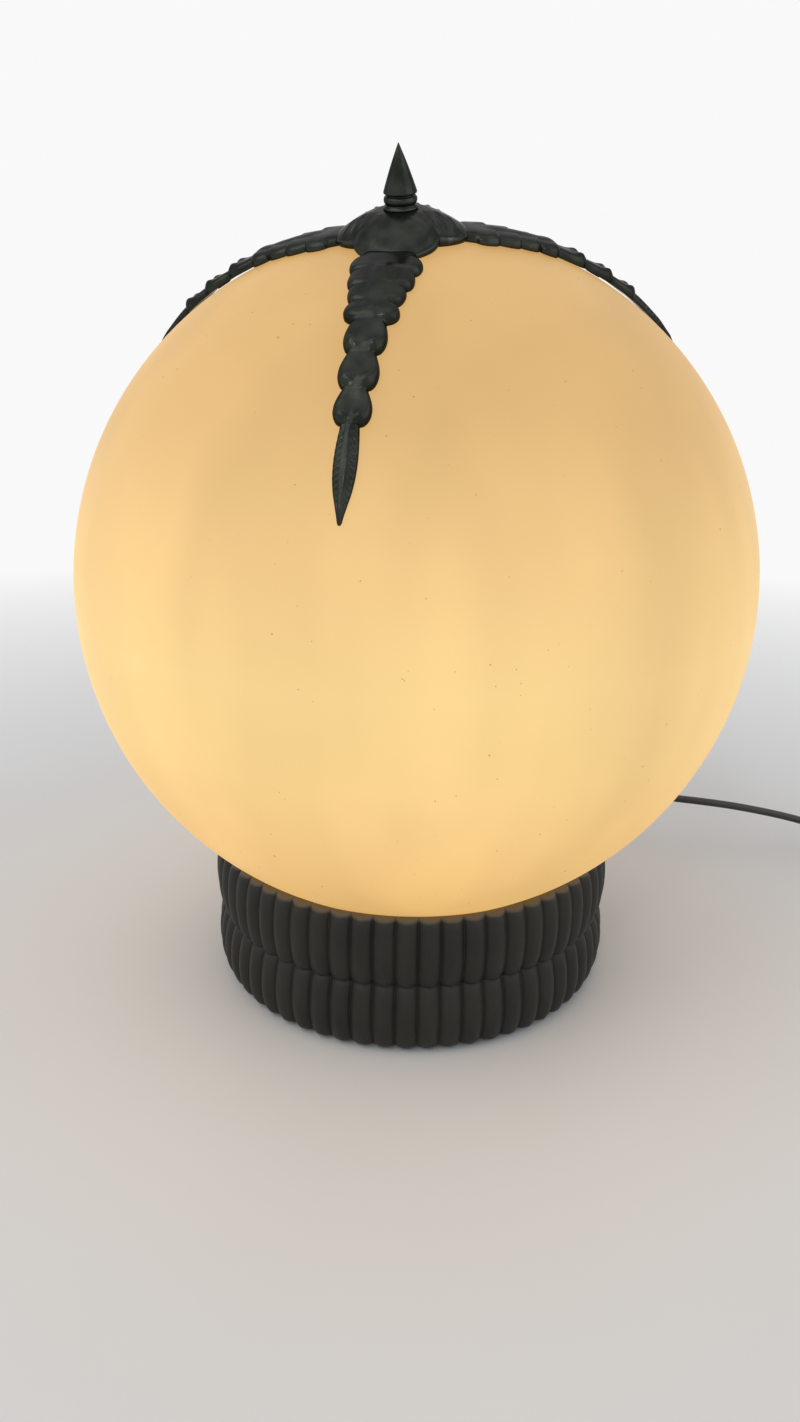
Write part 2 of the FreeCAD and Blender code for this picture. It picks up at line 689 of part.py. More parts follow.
def crown():
    radius = number("globe_radius")
    floor = radius + number("hub_floor")
    top = radius + number("hub_top")
    lobes = []
    for name, angle in ARM_ANGLES.items():
        lobe = doc.addObject("Part::Ellipsoid", name + "_lobe")
        bind(lobe, "Radius1", size("lobe_rise"))
        bind(lobe, "Radius2", size("lobe_length"))
        bind(lobe, "Radius3", size("lobe_width"))
        lobe.Angle1 = -90.0
        lobe.Angle2 = 90.0
        spin = Placement(Vector(), Rotation(Vector(0, 0, 1), angle - 90.0))
        lobe.Placement = spin.multiply(drop_on_arm(number("lobe_centre"), 0.5))
        lobes.append(lobe)
    neck = doc.addObject("Part::Cone", "hub_neck")
    neck.Radius1 = 17.0
    neck.Radius2 = 7.2
    neck.Height = top - floor + 2.0
    neck.Placement = at(0, 0, floor - 2.0)
    hollow = ball("hub_hollow", R + size("hub_floor"), Placement())
    bell = cut("hub_bell", joined("hub_lobes", lobes + [neck]), [hollow])
    boss = cylinder("hub_boss", size("boss_radius"), top - radius - number("crown_gap") - 4.0,
                    at(0, 0, radius + number("crown_gap")))
    bores = [cylinder("hub_bore", size("stud_radius") + 0.05, 30.0, at(0, 0, radius)),
             cylinder("hub_recess", 5.0, number("crown_gap") + 3.9, at(0, 0, radius))]
    for name, angle in ARM_ANGLES.items():
        spin = Placement(Vector(), Rotation(Vector(0, 0, 1), angle - 90.0))
        bores.append(cylinder(name + "_thread", 1.45, 8.0, spin.multiply(drop_on_arm(ARM_SCREW_AT, 0.5))))
    hub = cut("hub_bored", joined("hub_solid", [bell, boss]), bores)
    hub.Placement = crown_place()
    node(hub, "crown_hub")
    for name, angle in ARM_ANGLES.items():
        arm(name, angle)
    screws = []
    for name, angle in ARM_ANGLES.items():
        shank = cylinder(name + "_shank", 1.4, 6.4, on_crown(angle, ARM_SCREW_AT, 1.5))
        screws.append(shank)
    node(grouped("arm_screw_group", screws), "arm_screws")
    pads = [cylinder(name + "_pad", 3.5, number("crown_gap") - number("pad_gap") - 0.05,
                     on_crown(angle, ARM_PAD_AT, number("pad_gap"))) for name, angle in ARM_ANGLES.items()]
    node(grouped("arm_pad_group", pads), "arm_pads")
    pad = turned("hub_pad_turn", ring(5.2, size("boss_radius"), R + size("pad_gap"), R + size("crown_gap")))
    pad.Placement = crown_place()
    node(pad, "hub_pad")
    stud_place = crown_place().multiply(at(0, 0, radius + 2.4))
    node(cylinder("stud_rod", size("stud_radius"), size("stud_length"), stud_place), "finial_stud")
    prism = doc.addObject("Part::Prism", "hub_nut_hex")
    prism.Polygon = 6
    prism.Circumradius = 4.0
    prism.Height = 2.6
    prism.Placement = at(0, 0, radius + 2.5)
    bore = cylinder("hub_nut_bore", size("stud_radius") + 0.05, 8.0, at(0, 0, radius))
    nut = cut("hub_nut_cut", prism, [bore])
    nut.Placement = crown_place()
    node(nut, "hub_nut")
    spire()


def spire():
    foot = R + size("hub_top") + 0.1
    wide = size("spire_radius")
    bore = size("stud_radius") + 0.05
    section = [
        (bore, foot),
        (wide + 0.4, foot),
        (wide - 0.9, foot + 2.0),
        (wide - 0.9, foot + 5.9, 2.56, wide, foot + 3.95),
        (wide, foot + 6.6),
        (wide, foot + 7.5),
        (0, foot + size("spire_height")),
        (0, foot + 8.4),
        (bore, foot + 8.4),
    ]
    body = turned("spire_turn", section)
    body.Placement = crown_place()
    node(body, "finial")


# ---------------------------------------------------------------- mains lead

def coil():
    d = size("lead_radius") * 2
    inner = size("coil_radius") - d * 1.5
    outer = size("coil_radius") + d * 1.5
    bottom = size("coil_bottom")
    top = bottom + d * 3
    corner = size("lead_radius")
    bow = corner.value * (1 - math.sqrt(0.5))
    section = [
        (outer - corner, bottom),
        (outer, bottom + corner, corner, outer.value - bow, bottom.value + bow),
        (outer, top - corner),
        (outer - corner, top, corner, outer.value - bow, top.value - bow),
        (inner + corner, top),
        (inner, top - corner, corner, inner.value + bow, top.value - bow),
        (inner, bottom + corner),
        (inner + corner, bottom, corner, inner.value + bow, bottom.value + bow),
    ]
    body = turned("coil_turn", section)
    body.Placement = at(number("coil_x"), number("coil_y"), 0)
    node(body, "lead_coil")
    reach = d.value * 3 + 0.2
    height = top.value - bottom.value + 0.2
    middle = at(number("coil_x"), number("coil_y"), 0, Rotation(Vector(0, 0, 1), 150))
    low = bottom.value - 0.1
    outside = block("tie_outside", reach + 2.0, 7.0, height + 2.0, at(inner.value - 1.1, -3.5, low - 1.0))
    soft = rounded("tie_soft", outside, 2.4, Vector(0, 1, 0))
    inside = block("tie_inside", reach, 8.0, height, at(inner.value - 0.1, -4.0, low))
    band = cut("tie_band", soft, [inside])
    band.Placement = middle
    node(band, "lead_tie")


def switch():
    x = number("switch_x")
    y = number("switch_y")
    length = number("switch_length")
    width = number("switch_width")
    height = number("switch_height")
    split = height / 2
    place = at(x - width / 2, y - length / 2, 0)
    lower_box = block("switch_lower_box", size("switch_width"), size("switch_length"), split, place)
    upper_box = block("switch_upper_box", size("switch_width"), size("switch_length"), split,
                      place.multiply(at(0, 0, split)))
    upright = Vector(0, 0, 1)
    lower = rounded("switch_lower_round", lower_box, 6.0, upright)
    upper = rounded("switch_upper_round", upper_box, 6.0, upright)
    ends = (-20.0, 20.0)
    holes = []
    threads = []
    for i, end in enumerate(ends):
        holes.append(cylinder("switch_hole_%d" % i, 1.55, split + 4.0, at(x, y + end, -0.5)))
        holes.append(cylinder("switch_sink_%d" % i, 3.0, 3.0, at(x, y + end, -0.5)))
        threads.append(cylinder("switch_thread_%d" % i, 1.55, 4.0, at(x, y + end, split - 0.5)))
    well = block("rocker_well", 8.8, 16.8, height, at(x - 4.4, y - 8.4, split + 0.6))
    pivot = number("switch_height") - 5.0
    across = Rotation(Vector(0, 1, 0), 90)
    bore = cylinder("rocker_bore", 1.05, 11.6, at(x - 5.8, y, pivot, across))
    node(cut("switch_lower_cut", lower, holes), "switch_lower_half")
    node(cut("switch_upper_cut", upper, [well, bore] + threads), "switch_upper_half")
    screws = []
    for i, end in enumerate(ends):
        shank = cylinder("switch_shank_%d" % i, 1.5, split + 0.5, at(x, y + end, 2.0))
        head = cylinder("switch_head_%d" % i, 2.8, 1.6, at(x, y + end, 0.7))
        screws.append(joined("switch_screw_%d" % i, [shank, head]))
    node(grouped("switch_screw_group", screws), "switch_screws")

    plan = doc.addObject("Sketcher::SketchObject", "rocker_section")
    draw(plan, [(-6.0, -0.5), (6.0, -0.5), (7.0, 4.6), (0, 3.4), (-7.0, 4.6)])
    rocker = doc.addObject("Part::Extrusion", "rocker_body")
    rocker.Base = plan
    rocker.Dir = Vector(0, 0, 1)
    rocker.LengthFwd = 4.0
    rocker.LengthRev = 4.0
    rocker.Solid = True
    pins = cylinder("rocker_pins", 1.0, 11.0, at(0, 0, -5.5))
    key = joined("rocker_key", [rocker, pins])
    # the section's x runs along the lead and its y upwards; pressed down at the front, where it is on
    upright_turn = Rotation(Vector(0, 1, 0), Vector(0, 0, 1), Vector(1, 0, 0), "XYZ")
    tilt = Rotation(Vector(1, 0, 0), 8.0)
    key.Placement = Placement(Vector(x, y, pivot), tilt.multiply(upright_turn))
    node(key, "switch_rocker")


def plug():
    x = number("plug_x")
    y = number("plug_y")
    height = number("plug_height")
    towards_pins = Rotation(Vector(0, 1, 0), -90)
    grip = doc.addObject("Part::Cone", "plug_grip")
    grip.Radius1 = 3.4
    grip.Radius2 = 6.4
    grip.Height = 16.0
    grip.Placement = at(x, y, height / 2, towards_pins)
    face = block("plug_face", 24.0, 28.0, size("plug_height"), at(x - 36.0, y - 14.0, 0))
    soft = rounded("plug_soft", face, 5.0, Vector(1, 0, 0))
    face_x = x - 36.0
    pins = []
    holes = []
    for i, side in enumerate((-9.3, 9.3)):
        place = at(face_x, y + side, height / 2, towards_pins)
        blade = cylinder("plug_pin_blade_%d" % i, 2.0, 19.0, place)
        root = cylinder("plug_pin_root_%d" % i, 1.7, 4.0, place.multiply(at(0, 0, -3.0)))
        pins.append(joined("plug_pin_%d" % i, [blade, root]))
        holes.append(cylinder("plug_pin_hole_%d" % i, 1.75, 4.0, place.multiply(at(0, 0, -3.2))))
    node(cut("plug_cut", joined("plug_shape", [grip, soft]), holes), "plug_body")
    node(grouped("plug_pin_group", pins), "plug_pins")


def check_and_export():
    doc.recompute()
    for thing in doc.Objects:
        if "Invalid" in thing.State or "Error" in thing.State:
            raise RuntimeError("%s failed: %s" % (thing.Name, thing.State))
    os.makedirs("parts", exist_ok=True)
    for thing in nodes:
        shape = thing.Shape
        if shape.isNull() or not shape.isValid():
            raise RuntimeError("%s has a bad shape" % thing.Label)
    for thing in nodes:
        thing.Shape.exportStep("parts/%s.step" % thing.Label)
        print("%-26s solids %d, volume %.1f cm3"
              % (thing.Label, len(thing.Shape.Solids), thing.Shape.Volume / 1000.0))


drum()
base_fittings()
light()
bulb()
wiring()
globe()
crown()
lead("lead_to_switch", LEAD_ROUTE, number("lead_radius"))
lead("lead_to_coil", SECOND_ROUTE, number("lead_radius"))
lead("lead_to_plug", TAIL_ROUTE, number("lead_radius"))
coil()
switch()
plug()
check_and_export()
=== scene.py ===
import json
import math

import bmesh
import bpy
from mathutils import Matrix, Vector


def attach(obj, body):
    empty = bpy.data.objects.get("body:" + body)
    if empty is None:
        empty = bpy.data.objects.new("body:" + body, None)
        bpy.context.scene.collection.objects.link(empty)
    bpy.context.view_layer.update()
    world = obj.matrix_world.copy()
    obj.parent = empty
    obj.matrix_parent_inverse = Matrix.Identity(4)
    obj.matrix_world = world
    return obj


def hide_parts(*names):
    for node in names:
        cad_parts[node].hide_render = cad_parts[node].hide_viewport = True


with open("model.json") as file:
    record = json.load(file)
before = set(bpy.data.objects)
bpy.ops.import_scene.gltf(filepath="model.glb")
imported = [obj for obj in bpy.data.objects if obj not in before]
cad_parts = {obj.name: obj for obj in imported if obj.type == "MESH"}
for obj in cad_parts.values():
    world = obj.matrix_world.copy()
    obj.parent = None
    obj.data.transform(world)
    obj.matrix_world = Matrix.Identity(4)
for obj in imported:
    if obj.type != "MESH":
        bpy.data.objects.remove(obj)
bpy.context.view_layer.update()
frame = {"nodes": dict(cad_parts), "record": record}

# Sizes below are in millimetres in the lamp's own frame, as in the CAD source, and become metres
# when a mesh or curve is made.
MM = 0.001

GLOBE_RADIUS = 178.0
GLOBE_WALL = 3.2
GLOBE_CENTRE = 221.0
GLOBE_MOUTH = 60.0

# The drum: two tiers of ribs outside, and a stepped wall inside that is open below for the floor plate.
TIER = 39.0
DRUM_TOP = 77.5
BULGE = 114.0
WAIST = 109.8
FOOT = 106.0
FOOT_LIFT = 0.8
RIBS = 60
RIB_PHASE = 2.2
RIB_DEPTH = 3.4
WALL = 104.8
WALL_STEP = 105.2
STEP_BOTTOM = 66.0
STEP_TOP = 76.9
RECESS = 99.8
RECESS_TOP = 4.6

# The crown, which is drawn about its own axis and then leaned over the globe. Angles are in degrees, and
# those of the arms are counted from the front one. Heights on it are over the glass.
LEAN_FRONT = 20.0
LEAN_SIDE = -2.7
CROWN_TURN = -10.8
ARM_ANGLES = {"arm_front": 0.0, "arm_right": 117.0, "arm_left": -100.0}
HUB_TOP = 12.5
HUB_BORE = 2.3
NECK = 7.2
UNDERSIDE = 0.9
SPIRE_RADIUS = 7.3
SPIRE_BORE = 2.05

# The mains lead: where it passes through the switch, and its coil, with the height of the lowest turns.
LEAD_DIAMETER = 5.2
SWITCH = (380.0, 32.0, 7.0)
COIL_CENTRE = (333.0, -75.0)
COIL_RADIUS = 28.6
COIL_HEIGHT = 3.8

# The camera as fitted to the photograph: its place in metres, its lens in millimetres, turns in degrees.
CAMERA_PLACE = (0.0, -0.55513, 0.33793)
CAMERA_LENS = 26.08
CAMERA_YAW = 0.774
CAMERA_DOWN = 18.823
CAMERA_ROLL = 0.570


# ---------------------------------------------------------------- camera

def aim_camera():
    lens = bpy.data.cameras.new("camera")
    lens.lens = CAMERA_LENS
    lens.sensor_width = 36.0
    lens.sensor_fit = "AUTO"
    lens.clip_start = 0.01
    camera = bpy.data.objects.new("camera", lens)
    bpy.context.scene.collection.objects.link(camera)
    yaw = Matrix.Rotation(math.radians(CAMERA_YAW), 4, "Z")
    pitch = Matrix.Rotation(math.radians(90.0 - CAMERA_DOWN), 4, "X")
    roll = Matrix.Rotation(math.radians(CAMERA_ROLL), 4, "Z")
    camera.matrix_world = Matrix.Translation(CAMERA_PLACE) @ yaw @ pitch @ roll
    bpy.context.scene.camera = camera


# ---------------------------------------------------------------- materials

def new_material(name):
    material = bpy.data.materials.new(name)
    material.use_nodes = True
    tree = material.node_tree
    return material, tree, tree.nodes["Principled BSDF"]


def add(tree, kind, **values):
    """A node with its properties and input values set by name."""
    node = tree.nodes.new(kind)
    for key, value in values.items():
        if hasattr(node, key):
            setattr(node, key, value)
        else:
            node.inputs[key.replace("_", " ")].default_value = value
    return node


def noise(tree, scale, detail=4.0, stretch=(1.0, 1.0, 1.0)):
    """Noise in object space, with the place stretched first where the grain runs one way."""
    place = add(tree, "ShaderNodeTexCoord")
    mapping = add(tree, "ShaderNodeMapping")
    mapping.inputs["Scale"].default_value = stretch
    tree.links.new(place.outputs["Object"], mapping.inputs["Vector"])
    pattern = add(tree, "ShaderNodeTexNoise", Scale=scale, Detail=detail)
    tree.links.new(mapping.outputs["Vector"], pattern.inputs["Vector"])
    return pattern.outputs["Fac"]


def ramp(tree, source, stops):
    """A colour ramp of (position, colour) stops, fed by a value."""
    scale = add(tree, "ShaderNodeValToRGB")
    elements = scale.color_ramp.elements
    while len(elements) < len(stops):
        elements.new(0.5)
    for element, (position, colour) in zip(elements, stops):
        element.position = position
        element.color = (*colour, 1.0)
    tree.links.new(source, scale.inputs["Fac"])
    return scale.outputs["Color"]


def spread(tree, source, low, high, start=0.3, end=0.7):
    """A value moved into another range."""
    shift = add(tree, "ShaderNodeMapRange")
    for key, value in (("From Min", start), ("From Max", end), ("To Min", low), ("To Max", high)):
        shift.inputs[key].default_value = value
    tree.links.new(source, shift.inputs["Value"])
    return shift.outputs["Result"]


def bump(tree, source, strength, distance):
    relief = add(tree, "ShaderNodeBump", Strength=strength, Distance=distance)
    tree.links.new(source, relief.inputs["Height"])
    return relief.outputs["Normal"]


def reckon(tree, operation, *values):
    """The result of a maths node on values that are sockets or plain numbers."""
    step = add(tree, "ShaderNodeMath", operation=operation)
    for spot, value in zip(step.inputs, values):
        if isinstance(value, float):
            spot.default_value = value
        else:
            tree.links.new(value, spot)
    return step.outputs["Value"]


def place_in_object(tree):
    """The three coordinates of the shaded point in its object, which are the lamp's own, in metres."""
    split = add(tree, "ShaderNodeSeparateXYZ")
    tree.links.new(add(tree, "ShaderNodeTexCoord").outputs["Object"], split.inputs["Vector"])
    return split.outputs


def blend(tree, share, colour, other):
    """A colour with another mixed in by a share from 0 to 1."""
    mix = add(tree, "ShaderNodeMix", data_type="RGBA")
    tree.links.new(share, mix.inputs["Factor"])
    tree.links.new(colour, mix.inputs["A"])
    mix.inputs["B"].default_value = (*other, 1.0)
    return mix.outputs["Result"]


def finish_material(name, dark, light, rough, metallic=0.0, scale=60.0, grain=0.15, depth=0.0002,
                    stretch=(1.0, 1.0, 1.0), wear=None, coat=0.0, gloss=0.5, rim=None, tint=1.0):
    """A mottled surface: two colours mixed by noise, roughness from the same noise, and a fine grain.

    Wear is the colour of its rubbed edges. A rim is a painted glow, set in between two heights and above.
    A tint of zero keeps slanting reflections as dark as straight ones.
    """
    material, tree, shader = new_material(name)
    mottle = noise(tree, scale, 6.0, stretch)
    colour = ramp(tree, mottle, [(0.35, dark), (0.68, light)])
    if wear:
        geometry = add(tree, "ShaderNodeNewGeometry")
        edge = spread(tree, geometry.outputs["Pointiness"], 0.0, 1.0, 0.53, 0.62)
        colour = blend(tree, edge, colour, wear)
    # Painted light: above the rim's heights the colour turns lighter, standing in for the lit globe's glow on
    # a ledge.
    if rim:
        start, end, painted_glow_colour = rim
        painted_glow_share = spread(tree, place_in_object(tree)["Z"], 0.0, 1.0, start, end)
        colour = blend(tree, painted_glow_share, colour, painted_glow_colour)
    tree.links.new(colour, shader.inputs["Base Color"])
    tree.links.new(spread(tree, mottle, rough[0], rough[1]), shader.inputs["Roughness"])
    fine = noise(tree, scale * 9.0, 3.0, stretch)
    tree.links.new(bump(tree, fine, grain, depth), shader.inputs["Normal"])
    shader.inputs["Metallic"].default_value = metallic
    shader.inputs["Coat Weight"].default_value = coat
    shader.inputs["Specular IOR Level"].default_value = gloss
    shader.inputs["Specular Tint"].default_value = (tint, tint, tint, 1.0)
    return material


# The opal glass: its glow up the globe, as share of the height and colour, and where its darkest streak
# stands, in metres right of the middle.
GLOW = [(0.03, (0.62, 0.36, 0.11)),
        (0.12, (0.72, 0.435, 0.145)),
        (0.22, (0.82, 0.51, 0.185)),
        (0.36, (0.88, 0.60, 0.24)),
        (0.48, (0.88, 0.615, 0.255)),
        (0.62, (0.82, 0.54, 0.22)),
        (0.76, (0.68, 0.425, 0.165)),
        (1.0, (0.58, 0.345, 0.115))]
DARK_STREAK_AT = 0.103
DARK_STREAK_REACH = 0.036


def opal_material():
    """Opal glass lit from inside: warm, brightest level with the bulb, in soft upright streaks."""
    material, tree, shader = new_material("opal_lit")
    place = place_in_object(tree)
    bottom = (GLOBE_CENTRE - GLOBE_RADIUS) * MM
    top = (GLOBE_CENTRE + GLOBE_RADIUS) * MM
    glow = ramp(tree, spread(tree, place["Z"], 0.0, 1.0, bottom, top), GLOW)
    level = spread(tree, noise(tree, 13.0, 2.0, (1.0, 1.0, 0.18)), 0.93, 1.05, 0.38, 0.62)
    side = spread(tree, place["X"], 1.03, 0.91, -0.05, 0.16)
    aside = reckon(tree, "ABSOLUTE", reckon(tree, "SUBTRACT", place["X"], DARK_STREAK_AT))
    streak = spread(tree, aside, 0.92, 1.0, 0.0, DARK_STREAK_REACH)
    clouds = spread(tree, noise(tree, 22.0, 5.0), 0.985, 1.015)
    specks = spread(tree, noise(tree, 420.0, 1.0), 1.0, 0.55, 0.785, 0.80)
    for share in (side, streak, clouds, specks):
        level = reckon(tree, "MULTIPLY", level, share)
    scaled = add(tree, "ShaderNodeVectorMath", operation="SCALE")
    tree.links.new(glow, scaled.inputs["Vector"])
    tree.links.new(level, scaled.inputs["Scale"])
    tree.links.new(scaled.outputs["Vector"], shader.inputs["Emission Color"])
    shader.inputs["Emission Strength"].default_value = 1.0
    body = ramp(tree, clouds, [(0.0, (0.085, 0.065, 0.04)), (1.0, (0.105, 0.08, 0.05))])
    tree.links.new(body, shader.inputs["Base Color"])
    tree.links.new(spread(tree, clouds, 0.46, 0.58, 0.985, 1.015), shader.inputs["Roughness"])
    shader.inputs["Specular IOR Level"].default_value = 0.12
    return material


def clear_glass_material():
    material, tree, shader = new_material("bulb_clear")
    haze = noise(tree, 40.0, 3.0)
    hue = ramp(tree, haze, [(0.3, (0.93, 0.95, 0.96)), (0.7, (1.0, 1.0, 1.0))])
    tree.links.new(hue, shader.inputs["Base Color"])
    tree.links.new(spread(tree, haze, 0.02, 0.08), shader.inputs["Roughness"])
    shader.inputs["Transmission Weight"].default_value = 1.0
    shader.inputs["IOR"].default_value = 1.45
    return material


def filament_material():
    material, tree, shader = new_material("filament_lit")
    heat = noise(tree, 90.0, 2.0)
    warm = ramp(tree, heat, [(0.3, (1.0, 0.62, 0.24)), (0.7, (1.0, 0.80, 0.46))])
    tree.links.new(warm, shader.inputs["Emission Color"])
    tree.links.new(warm, shader.inputs["Base Color"])
    shader.inputs["Emission Strength"].default_value = 4.0
    return material


# The surfaces of the slots that finish_material makes.
FINISHES = {
    "base_iron": dict(
        name="base_iron_paint", dark=(0.013, 0.013, 0.0105), light=(0.024, 0.0235, 0.019),
        rough=(0.46, 0.62), scale=35.0, grain=0.25, depth=0.0003, wear=(0.055, 0.053, 0.044), gloss=0.3,
        # The rim is painted light: the glow of the lit globe on the drum's top ledge.
        rim=(0.0755, 0.0772, (0.15, 0.13, 0.10))),
    "crown_metal": dict(
        name="crown_patina", dark=(0.022, 0.025, 0.021), light=(0.042, 0.045, 0.038), rough=(0.17, 0.26),
        metallic=0.7, scale=120.0, grain=0.15, depth=0.0002, wear=(0.075, 0.08, 0.07), tint=0.0),
    "lamp_brass": dict(
        name="brass_turned", dark=(0.52, 0.36, 0.13), light=(0.70, 0.52, 0.22), rough=(0.22, 0.38),
        metallic=1.0, scale=150.0, stretch=(1.0, 1.0, 6.0)),
    "holder_plastic": dict(
        name="holder_black", dark=(0.022, 0.021, 0.020), light=(0.036, 0.035, 0.034), rough=(0.38, 0.52)),
    "porcelain": dict(
        name="porcelain_white", dark=(0.74, 0.71, 0.66), light=(0.84, 0.82, 0.78), rough=(0.12, 0.22),
        scale=80.0, grain=0.05, coat=0.4),
    "sheet_steel": dict(
        name="steel_plate", dark=(0.36, 0.37, 0.38), light=(0.52, 0.53, 0.54), rough=(0.30, 0.48),
        metallic=1.0, scale=45.0, stretch=(1.0, 8.0, 1.0)),
    "screw_steel": dict(
        name="steel_screw", dark=(0.40, 0.41, 0.42), light=(0.58, 0.59, 0.60), rough=(0.25, 0.40),
        metallic=1.0, scale=300.0),
    "felt": dict(
        name="felt_green", dark=(0.016, 0.026, 0.019), light=(0.034, 0.050, 0.038), rough=(0.92, 1.0),
        scale=260.0, grain=0.9, depth=0.0006),
    "seat_rubber": dict(
        name="rubber_seat", dark=(0.028, 0.027, 0.026), light=(0.044, 0.043, 0.041), rough=(0.62, 0.78)),
    "gland_plastic": dict(
        name="gland_black", dark=(0.018, 0.018, 0.019), light=(0.032, 0.032, 0.033), rough=(0.40, 0.55),
        scale=140.0),
    "block_plastic": dict(
        name="block_white", dark=(0.72, 0.71, 0.66), light=(0.80, 0.79, 0.75), rough=(0.26, 0.36),
        scale=90.0, grain=0.06),
    "lead_sheath": dict(
        name="lead_rubber", dark=(0.018, 0.018, 0.017), light=(0.034, 0.034, 0.031), rough=(0.40, 0.58),
        scale=180.0, grain=0.25),
    "tie_plastic": dict(
        name="tie_black", dark=(0.030, 0.030, 0.030), light=(0.050, 0.050, 0.050), rough=(0.35, 0.50),
        scale=200.0),
    "live_sheath": dict(
        name="wire_brown", dark=(0.18, 0.07, 0.025), light=(0.27, 0.12, 0.05), rough=(0.35, 0.45),
        scale=200.0),
    "neutral_sheath": dict(
        name="wire_blue", dark=(0.04, 0.11, 0.32), light=(0.08, 0.18, 0.44), rough=(0.35, 0.45), scale=200.0),
    "switch_plastic": dict(
        name="switch_black", dark=(0.020, 0.020, 0.021), light=(0.032, 0.032, 0.033), rough=(0.42, 0.56),
        scale=110.0, grain=0.3),
    "rocker_plastic": dict(
        name="rocker_black", dark=(0.022, 0.022, 0.022), light=(0.032, 0.032, 0.032), rough=(0.18, 0.28),
        scale=110.0, grain=0.05, coat=0.3),
    "plug_plastic": dict(
        name="plug_black", dark=(0.018, 0.018, 0.019), light=(0.030, 0.030, 0.031), rough=(0.42, 0.58),
        scale=110.0, grain=0.3),
}


def make_materials():
    """A material for every slot of the record."""
    materials = {slot: finish_material(**finish) for slot, finish in FINISHES.items()}
    materials["opal_glass"] = opal_material()
    materials["clear_glass"] = clear_glass_material()
    materials["filament_wire"] = filament_material()
    return materials


# ---------------------------------------------------------------- mesh helpers

class Shell:
    """Vertices and faces of one piece, made of any number of closed shells."""

    def __init__(self):
        self.points = []
        self.faces = []

    def row(self, points):
        start = len(self.points)
        self.points.extend(points)
        return list(range(start, start + len(points)))

    def band(self, first, second):
        count = len(first)
        for i in range(count):
            after = (i + 1) % count
            self.faces.append((first[i], first[after], second[after], second[i]))

    def fan(self, ring, middle, flip=False):
        count = len(ring)
        for i in range(count):
            after = (i + 1) % count
            corner = (ring[after], ring[i], middle) if flip else (ring[i], ring[after], middle)
            self.faces.append(corner)

    def piece(self, name, body, slot, nodes, place=Matrix.Identity(4)):
        """The shell as an object that rides on a body, in place of the CAD nodes named."""
        mesh = bpy.data.meshes.new(name)
        scale = Matrix.Scale(MM, 4)
        mesh.from_pydata([scale @ (place @ Vector(p)) for p in self.points], [], self.faces)
        mesh.validate()
        mesh.shade_smooth()
        mesh.materials.append(MATERIALS[slot])
        thing = bpy.data.objects.new(name, mesh)
        bpy.context.scene.collection.objects.link(thing)
        outward(mesh)
        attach(thing, body)
        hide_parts(*nodes)


def outward(mesh):
    """Turns each closed shell's faces so that they look outwards."""
    form = bmesh.new()
    form.from_mesh(mesh)
    bmesh.ops.recalc_face_normals(form, faces=form.faces)
    form.to_mesh(mesh)
    form.free()


def lathe(shell, profile, steps):
    """Turns a closed outline of (radius, height). A radius of 0 is a point on the axis."""
    rings = []
    for radius, height in profile:
        if radius < 1e-6:
            rings.append(shell.row([(0.0, 0.0, height)]))
        else:
            turn = [2 * math.pi * i / steps for i in range(steps)]
            rings.append(shell.row([(radius * math.cos(a), radius * math.sin(a), height) for a in turn]))
    for first, second in zip(rings, rings[1:] + rings[:1]):
        if len(first) == 1 and len(second) == 1:
            continue
        if len(first) == 1:
            shell.fan(second, first[0], True)
        elif len(second) == 1:
            shell.fan(first, second[0])
        else:
            shell.band(first, second)


def smooth_step(value, low, high):
    t = min(1.0, max(0.0, (value - low) / (high - low)))
    return t * t * (3 - 2 * t)


def soft_max(values, sharp):
    top = max(values)
    return top + math.log(sum(math.exp(sharp * (v - top)) for v in values)) / sharp


def seat(height, offset):
    """Radius at a height of a surface that follows the globe at an offset outside it."""
    return math.sqrt((GLOBE_RADIUS + offset) ** 2 - (GLOBE_CENTRE - height) ** 2)


# ---------------------------------------------------------------- drum base

def tier_radius(height):
    """Outer radius of the drum on its ribs' crests: two bulging tiers."""
    along = (height % TIER) / TIER
    low = FOOT if height < TIER else WAIST
    edge = low + (WAIST - low) * along
    return edge + (BULGE - edge) * math.sqrt(1.0 - (2.0 * along - 1.0) ** 2) ** 1.15


